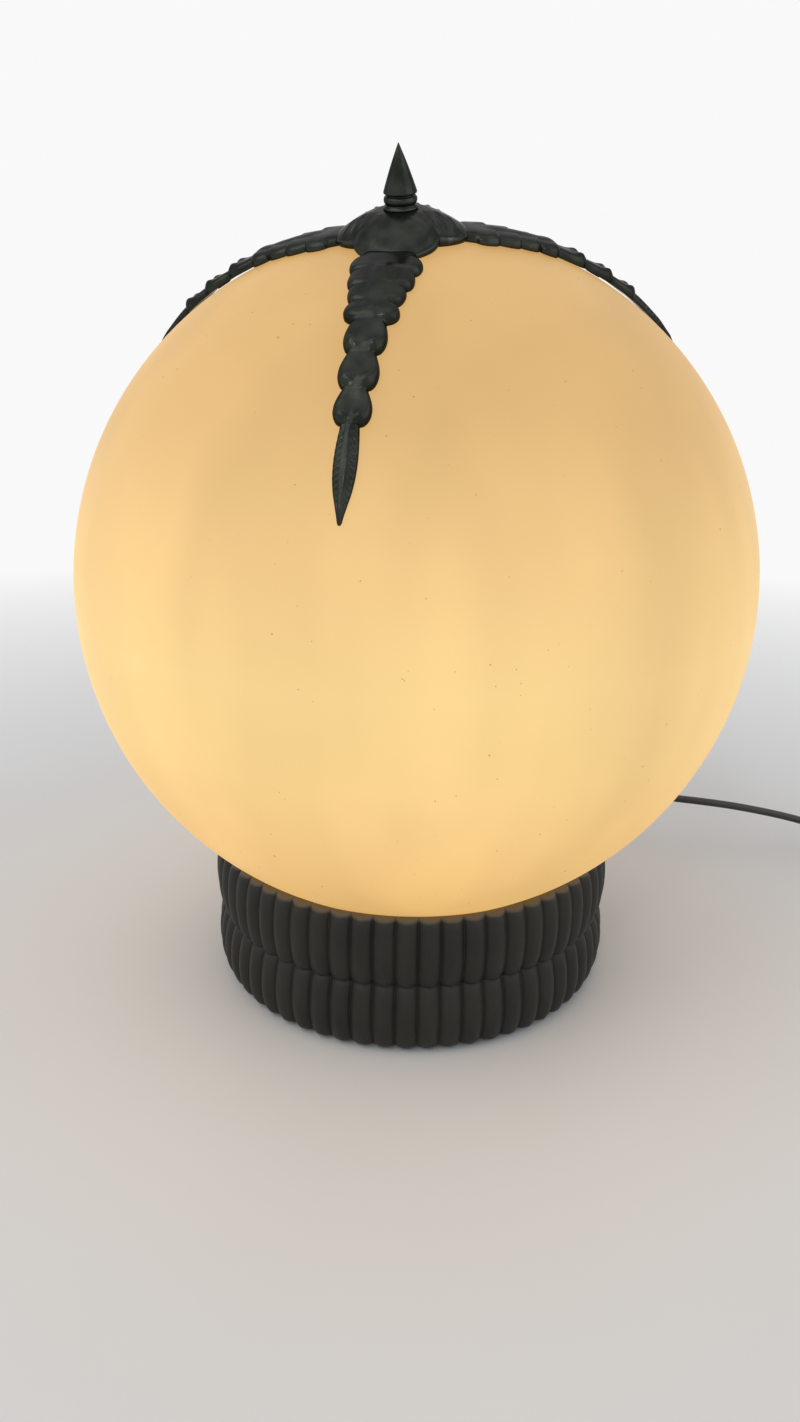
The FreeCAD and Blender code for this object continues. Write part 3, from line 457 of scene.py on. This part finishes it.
def drum():
    """The drum as level outlines, up its ribbed outside and down its wall inside."""
    shell = Shell()
    # Places across one rib, from its groove at -1 over its crest at 0 to the next groove.
    across = (-1.0, -0.94, -0.84, -0.68, -0.46, -0.2, 0.0, 0.2, 0.46, 0.68, 0.84, 0.94)
    pitch = 2 * math.pi / RIBS
    angles = []
    swell = []
    for rib in range(RIBS):
        for spot in across:
            angles.append((rib + 0.5 + spot / 2) * pitch + math.radians(RIB_PHASE - 90.0))
            swell.append(math.cos(math.pi / 2 * abs(spot)) ** 0.72)

    def ring(radius, height, depth=0.0):
        """A level outline at a crest radius, with the grooves between the ribs cut to a depth."""
        reaches = [radius - depth * (1 - s) for s in swell]
        return shell.row([(r * math.cos(a), r * math.sin(a), height) for r, a in zip(reaches, angles)])

    outer = [(FOOT - 0.8, FOOT_LIFT, 1.4), (FOOT + 0.4, 1.3, 2.0)]
    for tier in range(2):
        for i in range(1, 16):
            along = 0.5 - 0.5 * math.cos(math.pi * i / 16)
            height = (tier + along) * TIER
            if 2.2 < height < DRUM_TOP - 1.2:
                outer.append((tier_radius(height), height, RIB_DEPTH))
        if tier == 0:
            outer.append((WAIST - 0.5, TIER, 2.6))
    outer += [(WAIST + 0.9, DRUM_TOP - 1.0, 3.2), (WAIST + 0.3, DRUM_TOP - 0.35, 3.0),
              (WAIST - 0.5, DRUM_TOP, 2.6)]
    inner = [(seat(DRUM_TOP, 0.4), DRUM_TOP), (WALL_STEP, STEP_TOP), (WALL_STEP, STEP_BOTTOM),
             (WALL, STEP_BOTTOM), (WALL, RECESS_TOP), (RECESS, RECESS_TOP), (RECESS, FOOT_LIFT)]
    rings = [ring(*step) for step in outer + inner]
    for first, second in zip(rings, rings[1:] + rings[:1]):
        shell.band(first, second)
    shell.piece("drum_fluted", "base", "base_iron", ["base_shell"])


# ---------------------------------------------------------------- globe

def globe():
    """The blown ball, outside and inside, with a lip around its open mouth below."""
    shell = Shell()
    start = math.asin(GLOBE_MOUTH / GLOBE_RADIUS)
    inside = GLOBE_RADIUS - GLOBE_WALL
    inner_start = math.asin((GLOBE_MOUTH + 0.2) / inside)
    lip_turn = 0.006

    def arc(radius, first, count):
        """Points on a circle about the globe's centre, from an angle off straight down to the top."""
        turns = [first + (math.pi - first) * i / count for i in range(count + 1)]
        return [(radius * math.sin(t), GLOBE_CENTRE - radius * math.cos(t)) for t in turns]

    outer = arc(GLOBE_RADIUS, start + lip_turn, 90)
    outer[-1] = (0.0, outer[-1][1])
    inner = arc(inside, inner_start + lip_turn, 48)[::-1]
    inner[0] = (0.0, inner[0][1])
    lip = [(GLOBE_MOUTH + 0.1, 54.9), (GLOBE_MOUTH + 0.35, 54.0)]
    lathe(shell, outer + inner + lip, 192)
    shell.piece("globe_glass", "globe", "opal_glass", ["globe"])


# ---------------------------------------------------------------- crown

def crown_place(turn=0.0):
    """The placing of a piece that was drawn about the globe's centre, turned about the crown's axis."""
    side = Matrix.Rotation(math.radians(LEAN_SIDE), 4, "Y")
    front = Matrix.Rotation(math.radians(LEAN_FRONT), 4, "X")
    spin = Matrix.Rotation(math.radians(CROWN_TURN + turn), 4, "Z")
    return Matrix.Translation((0.0, 0.0, GLOBE_CENTRE)) @ side @ front @ spin


def on_glass(along, aside, height):
    """A point over the glass, from its distance along an arm and aside of it."""
    a = along / GLOBE_RADIUS
    b = aside / GLOBE_RADIUS
    reach = GLOBE_RADIUS + height
    return (reach * math.sin(a) * math.cos(b), reach * math.sin(b), reach * math.cos(a) * math.cos(b))


def on_cap(reach, angle, height):
    """A point over the glass, from its distance from the crown's axis and its direction."""
    a = reach / GLOBE_RADIUS
    out = GLOBE_RADIUS + height
    return (out * math.sin(a) * math.cos(angle), out * math.sin(a) * math.sin(angle), out * math.cos(a))


def curve_through(points, steps):
    """Points on a Catmull-Rom curve through the points given."""
    found = []
    ends = [points[0]] + list(points) + [points[-1]]
    for before, here, there, after in zip(ends, ends[1:], ends[2:], ends[3:]):
        for i in range(steps):
            t = i / steps
            found.append(tuple(
                0.5 * (2 * h + (n - b) * t + (2 * b - 5 * h + 4 * n - a) * t * t
                       + (3 * h - b - 3 * n + a) * t ** 3)
                for b, h, n, a in zip(before, here, there, after)))
    found.append(tuple(points[-1]))
    return found


# Plan of an arm along the glass. For each scale or heart: where it is widest, its half width there, where
# it ends and the half width of that notch. For the leaf: distance and half width.
ROOT, ROOT_END = 22.0, 30.5
SCALES = [(35.0, 15.4, 41.0, 12.6), (47.0, 13.9, 52.0, 11.0), (55.6, 12.0, 62.4, 8.1),
          (67.6, 11.4, 72.5, 6.8)]
HEARTS = [(81.5, 8.7, 88.2, 5.4), (98.0, 8.1, 104.8, 4.7), (114.0, 7.6, 120.3, 3.7)]
LEAF = [(120.3, 3.7), (126.0, 4.3), (133.0, 4.7), (140.0, 4.5), (146.0, 3.7), (151.0, 2.5), (155.0, 1.5),
        (157.6, 0.95), (158.6, 0.4)]

# Height of an arm's crest over the glass, along the arm.
CREST = [(22.0, 4.4), (31.0, 5.0), (52.0, 5.0), (63.0, 5.1), (69.0, 5.7), (73.5, 4.9), (85.0, 5.3),
         (90.0, 4.6), (101.0, 5.1), (106.0, 4.4), (117.0, 4.8), (122.5, 3.9), (140.0, 3.5), (152.0, 2.8),
         (158.6, 1.8)]


def rounding(reach):
    """Share of an arm's height at a share of its half width: flat on top, steep at the edge."""
    return (1.0 - min(1.0, reach) ** 5) ** (1 / 2.6)


def crest(s):
    """Height of an arm's crest at a distance along it."""
    for (here, low), (there, high) in zip(CREST, CREST[1:]):
        if s <= there:
            return low + (high - low) * smooth_step(s, here, there)
    return CREST[-1][1]


def arm_stations():
    """Places along an arm: (distance, half width, start and end of its element, kind of element)."""
    stations = [(ROOT + i, 10.5 + 0.28 * i, ROOT, ROOT_END, "root") for i in range(9)]
    begin, narrow = ROOT_END, 13.0
    for kind, elements in (("scale", SCALES), ("heart", HEARTS)):
        count = 9 if kind == "scale" else 18
        turns = [math.pi / 2 * i / count for i in range(count)]
        for wide_at, wide, end, notch in elements:
            for i, turn in enumerate(turns[1:], 1):
                share = 1 - math.cos(turn) if kind == "scale" else i / count
                half = narrow + (wide - narrow) * math.sin(turn)
                stations.append((begin + (wide_at - begin) * share, half, begin, end, kind))
            for turn in turns:
                half = notch + (wide - notch) * math.cos(turn)
                stations.append((wide_at + (end - wide_at) * math.sin(turn), half, begin, end, kind))
            begin, narrow = end, notch
    stations += [(s, half, begin, LEAF[-1][0], "leaf") for s, half in curve_through(LEAF, 14)]
    return stations


def relief(s, t, half, begin, end, kind):
    """Modelling on an arm's top: shingled scales under a raised tongue, two-lobed hearts, a veined leaf.

    Taken at a distance s along the arm and t aside of its middle, in an element from begin to end.
    """
    aside = abs(t) / half
    share = (s - begin) / (end - begin)
    tongue = smooth_step(s, 36.0, 42.0) * (1.0 - smooth_step(s, 70.0, 77.0))
    height = 0.75 * math.exp(-(t / 3.3) ** 6) * tongue
    if kind == "scale":
        height += 0.75 * share ** 2 * (1.0 - smooth_step(share, 0.84, 1.0)) * smooth_step(aside, 0.2, 0.5)
    if kind == "heart":
        lobe = ((s - end + 3.4) / 2.6) ** 2 + ((abs(t) - 0.52 * half) / 2.3) ** 2
        height += 1.15 * math.exp(-lobe) - 0.25 * math.exp(-((share - 0.35) / 0.2) ** 2 - (t / 3.0) ** 2)
    if kind == "leaf":
        fade = smooth_step(s, 121.0, 124.0) * (1.0 - smooth_step(s, 147.0, 153.0))
        vein = (0.5 + 0.5 * math.cos(2 * math.pi * (s - 1.1 * abs(t)) / 2.7)) ** 2
        height += 0.5 * (1.0 - smooth_step(aside, 0.1, 0.5)) - 0.2
        height -= 0.55 * vein * smooth_step(aside, 0.36, 0.6) * fade
    return height


def arm(name, angle):
    """One arm, as rows over its top from side to side and back under it."""
    shell = Shell()
    across = [math.sin(math.pi * (i / 30 - 0.5)) for i in range(31)]
    rows = []
    for s, half, begin, end, kind in arm_stations():
        row = []
        for v in across:
            top = crest(s) + relief(s, half * v, half, begin, end, kind)
            row.append(on_glass(s, half * v, UNDERSIDE + (top - UNDERSIDE) * rounding(abs(v))))
        row += [on_glass(s, half * v, UNDERSIDE) for v in (0.5, 0.0, -0.5)]
        rows.append(shell.row(row))
    for first, second in zip(rows, rows[1:]):
        shell.band(first, second)
    for row in (rows[0], rows[-1]):
        shell.faces.append(tuple(row))
    shell.piece(name + "_cast", "crown", "crown_metal", [name], crown_place(angle - 90.0))


def hub():
    """The hub: a fluted neck that spreads into a ribbed lobe over each arm, as heights over the glass."""
    shell = Shell()
    # Plan of a lobe: an ellipse, its centre out along the arm, its half length and half width.
    centre, length, width = 11.0, 19.5, 18.5
    rim_foot = 0.6
    arms = [(math.radians(a - 90.0), name == "arm_front") for name, a in ARM_ANGLES.items()]

    def edge(angle):
        """Reach of the hub in a direction: the farthest lobe's."""
        best = 0.0
        for arm_angle, _ in arms:
            c = math.cos(angle - arm_angle)
            s = math.sin(angle - arm_angle)
            a = (c / length) ** 2 + (s / width) ** 2
            b = -2 * centre * c / length ** 2
            d = (centre / length) ** 2 - 1.0
            best = max(best, (-b + math.sqrt(b * b - 4 * a * d)) / (2 * a))
        return best

    def lobe(x, y, front):
        """Height of one lobe: level beside the neck, then a long slope, with slanting ribs on its flanks."""
        fill = 1.0 - ((x - centre) / length) ** 2 - (y / width) ** 2
        if fill <= 0:
            return rim_foot
        dome = (1.0 - (1.0 - fill) ** 2.2) ** 0.45
        slope = 12.0 - 6.2 * smooth_step(x, 7.0, 31.0)
        rib = (0.5 + 0.5 * math.cos(2 * math.pi * (x - 0.55 * abs(y)) / 5.0)) ** 2.2
        last = (9.0, 14.0) if front else (17.0, 25.0)
        rib *= smooth_step(abs(y), 3.0, 8.0) * (1.0 - smooth_step(x, *last))
        rib *= smooth_step(fill, 0.05, 0.4)
        return rim_foot + slope * (1.0 - 0.22 * (y / width) ** 2) * dome + 0.7 * rib

    def height(reach, angle):
        """Height of the hub at a reach in a direction: the lobes and the neck, run softly together."""
        lobes = [lobe(reach * math.cos(angle - a), reach * math.sin(angle - a), front) for a, front in arms]
        neck = 12.6 - 3.2 * smooth_step(reach, NECK, 17.0) - 0.30 * max(0.0, reach - 8.0)
        flute = (0.5 + 0.5 * math.cos(13 * angle)) ** 1.5
        neck += 0.7 * flute * smooth_step(reach, 7.3, 9.5) * (1.0 - smooth_step(reach, 12.0, 17.0))
        return min(HUB_TOP, soft_max(lobes + [neck], 1.8))

    steps = 300
    angles = [2 * math.pi * i / steps for i in range(steps)]
    rims = [edge(a) for a in angles]

    def level(reach, at):
        return [on_cap(reach, a, at) for a in angles]

    rows = [level(HUB_BORE, HUB_TOP), level(NECK - 0.1, HUB_TOP)]
    count = 44
    for i in range(1, count):
        share = math.sin(math.pi / 2 * i / count) ** 0.9
        row = []
        for a, rim in zip(angles, rims):
            reach = NECK + (rim - NECK) * share
            row.append(on_cap(reach, a, height(min(reach, rim - 0.02), a)))
        rows.append(row)
    rows.append([on_cap(rim, a, 2.2) for a, rim in zip(angles, rims)])
    rows.append([on_cap(rim - 0.8, a, UNDERSIDE) for a, rim in zip(angles, rims)])
    rows.append(level(HUB_BORE, UNDERSIDE))
    rings = [shell.row(row) for row in rows]
    for first, second in zip(rings, rings[1:] + rings[:1]):
        shell.band(first, second)
    shell.piece("hub_cast", "crown", "crown_metal", ["crown_hub"], crown_place())


def spire():
    """The finial: a ring, a bead and a collar under a cone that swells a little, with a bore for the stud."""
    shell = Shell()
    foot = GLOBE_RADIUS + HUB_TOP + 0.1
    bore_top = 8.4
    cone_foot, cone_height, cone_rows = 7.0, 17.7, 8
    cone_wide, cone_tip, swell = SPIRE_RADIUS - 0.15, 0.3, 0.25
    ring = [(0.2, 0.0), (0.35, 0.25), (0.1, 0.7), (-0.8, 1.35), (-0.95, 1.6)]
    bead = [(-0.5, 2.0), (-0.1, 2.6), (0.0, 3.4), (-0.1, 4.2), (-0.5, 4.8), (-1.1, 5.2)]
    collar = [(-1.25, 5.45), (-0.6, 5.8), (-0.1, 6.1), (0.0, 6.5)]
    outline = [(SPIRE_BORE, 0.0)]
    outline += [(SPIRE_RADIUS + more, height) for more, height in ring + bead + collar]
    for i in range(cone_rows + 1):
        share = i / cone_rows
        outline.append((cone_wide * (1 - share) + cone_tip * share + swell * math.sin(math.pi * share),
                        cone_foot + cone_height * share))
    outline += [(0.18, 25.0), (0.0, 25.2), (0.0, bore_top), (SPIRE_BORE, bore_top)]
    lathe(shell, [(radius, foot + height) for radius, height in outline], 64)
    shell.piece("spire_turned", "finial", "crown_metal", ["finial"], crown_place())


# ---------------------------------------------------------------- mains lead

# The lead's way as points of a smooth curve: from the gland to the switch, from there to the coil, and from
# the coil to the plug.
LEAD_ROUTE = [(73.0, 126.4, 38.0), (81.0, 140.3, 38.0), (91.0, 154.0, 38.5), (105.0, 164.5, 39.0),
              (122.0, 167.0, 39.5), (138.0, 162.0, 39.6), (153.0, 152.5, 39.6), (169.0, 142.0, 39.6),
              (187.0, 134.0, 39.6), (207.0, 129.5, 39.3), (228.0, 128.5, 37.0), (250.0, 128.8, 33.0),
              (273.0, 128.8, 28.0), (296.0, 128.3, 21.5), (320.0, 126.0, 14.5), (343.0, 119.5, 7.6),
              (361.0, 106.0, 3.2), (373.0, 90.0, 3.2), (379.0, 74.0, 5.6), (380.0, 60.0, 7.0)]
SECOND_ROUTE = [(380.0, 4.0, 7.0), (379.6, -10.0, 5.6), (377.5, -26.0, 3.6), (373.5, -42.0, 3.6),
                (369.5, -57.0, 3.8)]
TAIL_ROUTE = [(317.3, -110.5, 11.9), (308.6, -114.8, 10.8), (294.4, -128.2, 8.4), (285.7, -132.5, 7.4),
              (276.0, -134.0, 6.85), (270.0, -134.0, 6.85)]


def coil_points():
    """The coil's turns, clockwise from its right side: three on the table, three on those, one on top.

    Each turn keeps its radius and layer at first, and goes over to those of the next in its last part.
    """
    gap = LEAD_DIAMETER + 0.1
    radii = [COIL_RADIUS + more for more in (gap, 0.0, -gap, -gap, 0.0, gap, 0.0, 0.4)]
    layers = [0, 0, 0, 1, 1, 1, 2, 2]
    turns, per_turn = 7.25, 16
    points = []
    for step in range(2, int(turns * per_turn)):
        turn, spot = divmod(step, per_turn)
        over = smooth_step(spot / per_turn, 0.62, 1.0)
        following = min(turn + 1, 7)
        radius = radii[turn] + (radii[following] - radii[turn]) * over
        layer = layers[turn] + (layers[following] - layers[turn]) * over
        angle = -2 * math.pi * step / per_turn
        points.append((COIL_CENTRE[0] + radius * math.cos(angle), COIL_CENTRE[1] + radius * math.sin(angle),
                       COIL_HEIGHT + gap * layer))
    return points


def mains_lead():
    """The whole lead as one curve, in place of its CAD stretches and its coil."""
    curve = bpy.data.curves.new("mains_lead", "CURVE")
    curve.dimensions = "3D"
    curve.bevel_depth = LEAD_DIAMETER / 2 * MM
    curve.bevel_resolution = 6
    curve.resolution_u = 8
    curve.use_fill_caps = True
    spline = curve.splines.new("NURBS")
    route = LEAD_ROUTE + [SWITCH] + SECOND_ROUTE + coil_points() + TAIL_ROUTE
    spline.points.add(len(route) - 1)
    for point, spot in zip(spline.points, route):
        point.co = (spot[0] * MM, spot[1] * MM, spot[2] * MM, 1.0)
    spline.order_u = 3
    spline.use_endpoint_u = True
    curve.materials.append(MATERIALS["lead_sheath"])
    lead = bpy.data.objects.new("mains_lead", curve)
    bpy.context.scene.collection.objects.link(lead)
    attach(lead, "base")
    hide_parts("lead_to_switch", "lead_to_coil", "lead_to_plug", "lead_coil")


# ---------------------------------------------------------------- the rest

WHITE = 0.95
FLOOR_REACH = 6.0


def dress_nodes():
    """Gives every CAD node its slot's material."""
    slots = {part["node"]: part["material_slot"] for part in frame["record"]["subparts"]}
    for name, thing in frame["nodes"].items():
        thing.data.materials.clear()
        thing.data.materials.append(MATERIALS[slots[name]])


def area_light(name, place, aim, width, power, colour=(1.0, 1.0, 1.0)):
    lamp = bpy.data.lights.new(name, "AREA")
    lamp.shape = "SQUARE"
    lamp.size = width
    lamp.energy = power
    lamp.color = colour
    thing = bpy.data.objects.new(name, lamp)
    thing.location = place
    thing.rotation_euler = (Vector(aim) - Vector(place)).to_track_quat("-Z", "Y").to_euler()
    bpy.context.scene.collection.objects.link(thing)


def seen_white(tree, plain, strength, share=None):
    """Mixes in a white that only the camera and mirror or glass rays see. Returns the mixed shader.

    Without a share the shader is the world's, and with one it is a surface's, and goes white by that share.
    """
    path = add(tree, "ShaderNodeLightPath")
    seen = path.outputs["Is Camera Ray"]
    for ray in ("Is Glossy Ray", "Is Transmission Ray"):
        seen = reckon(tree, "MAXIMUM", seen, path.outputs[ray])
    kind = "ShaderNodeBackground"
    if share:
        seen = reckon(tree, "MULTIPLY", seen, share)
        kind = "ShaderNodeEmission"
    mix = add(tree, "ShaderNodeMixShader")
    white = add(tree, kind, Strength=strength)
    white.inputs["Color"].default_value = (1.0, 1.0, 1.0, 1.0)
    tree.links.new(seen, mix.inputs["Fac"])
    tree.links.new(plain, mix.inputs[1])
    tree.links.new(white.outputs[0], mix.inputs[2])
    return mix.outputs["Shader"]


def studio():
    """A pale room: the world, four lamps, and a floor that goes over into the white away from the lamp."""
    world = bpy.data.worlds.new("studio")
    world.use_nodes = True
    tree = world.node_tree
    soft = tree.nodes["Background"]
    soft.inputs["Color"].default_value = (0.93, 0.95, 1.0, 1.0)
    soft.inputs["Strength"].default_value = 0.42
    surround = seen_white(tree, soft.outputs["Background"], WHITE)
    tree.links.new(surround, tree.nodes["World Output"].inputs["Surface"])
    bpy.context.scene.world = world
    area_light("key", (-1.2, -1.0, 1.7), (0.0, 0.0, 0.2), 1.6, 12.0, (1.0, 0.98, 0.95))
    area_light("fill", (1.5, -0.7, 1.0), (0.0, 0.0, 0.2), 1.6, 6.0, (0.95, 0.97, 1.0))
    area_light("top", (0.0, 0.3, 1.9), (0.0, 0.0, 0.2), 2.2, 4.5)
    area_light("glint", (-0.25, -1.25, 1.15), (0.0, -0.1, 0.35), 0.14, 1.3)

    mesh = bpy.data.meshes.new("floor")
    corners = [(x * FLOOR_REACH, y * FLOOR_REACH, 0.0) for x, y in ((-1, -1), (1, -1), (1, 1), (-1, 1))]
    mesh.from_pydata(corners, [], [(0, 1, 2, 3)])
    floor = bpy.data.objects.new("floor", mesh)
    floor.location.z = -0.0002
    bpy.context.scene.collection.objects.link(floor)
    material, tree, shader = new_material("floor_pale")
    grey = ramp(tree, noise(tree, 3.0), [(0.3, (0.79, 0.79, 0.79)), (0.7, (0.82, 0.82, 0.82))])
    tree.links.new(grey, shader.inputs["Base Color"])
    shader.inputs["Roughness"].default_value = 0.6
    place = add(tree, "ShaderNodeTexCoord")
    distance = add(tree, "ShaderNodeVectorMath", operation="LENGTH")
    tree.links.new(place.outputs["Object"], distance.inputs[0])
    away = spread(tree, distance.outputs["Value"], 0.0, 1.0, 0.35, 1.3)
    output = tree.nodes["Material Output"]
    tree.links.new(seen_white(tree, shader.outputs["BSDF"], WHITE, away), output.inputs["Surface"])
    mesh.materials.append(material)


aim_camera()
MATERIALS = make_materials()
mains_lead()
dress_nodes()
drum()
globe()
hub()
for arm_name, arm_angle in ARM_ANGLES.items():
    arm(arm_name, arm_angle)
spire()
studio()

bpy.context.scene.view_settings.view_transform = "Standard"
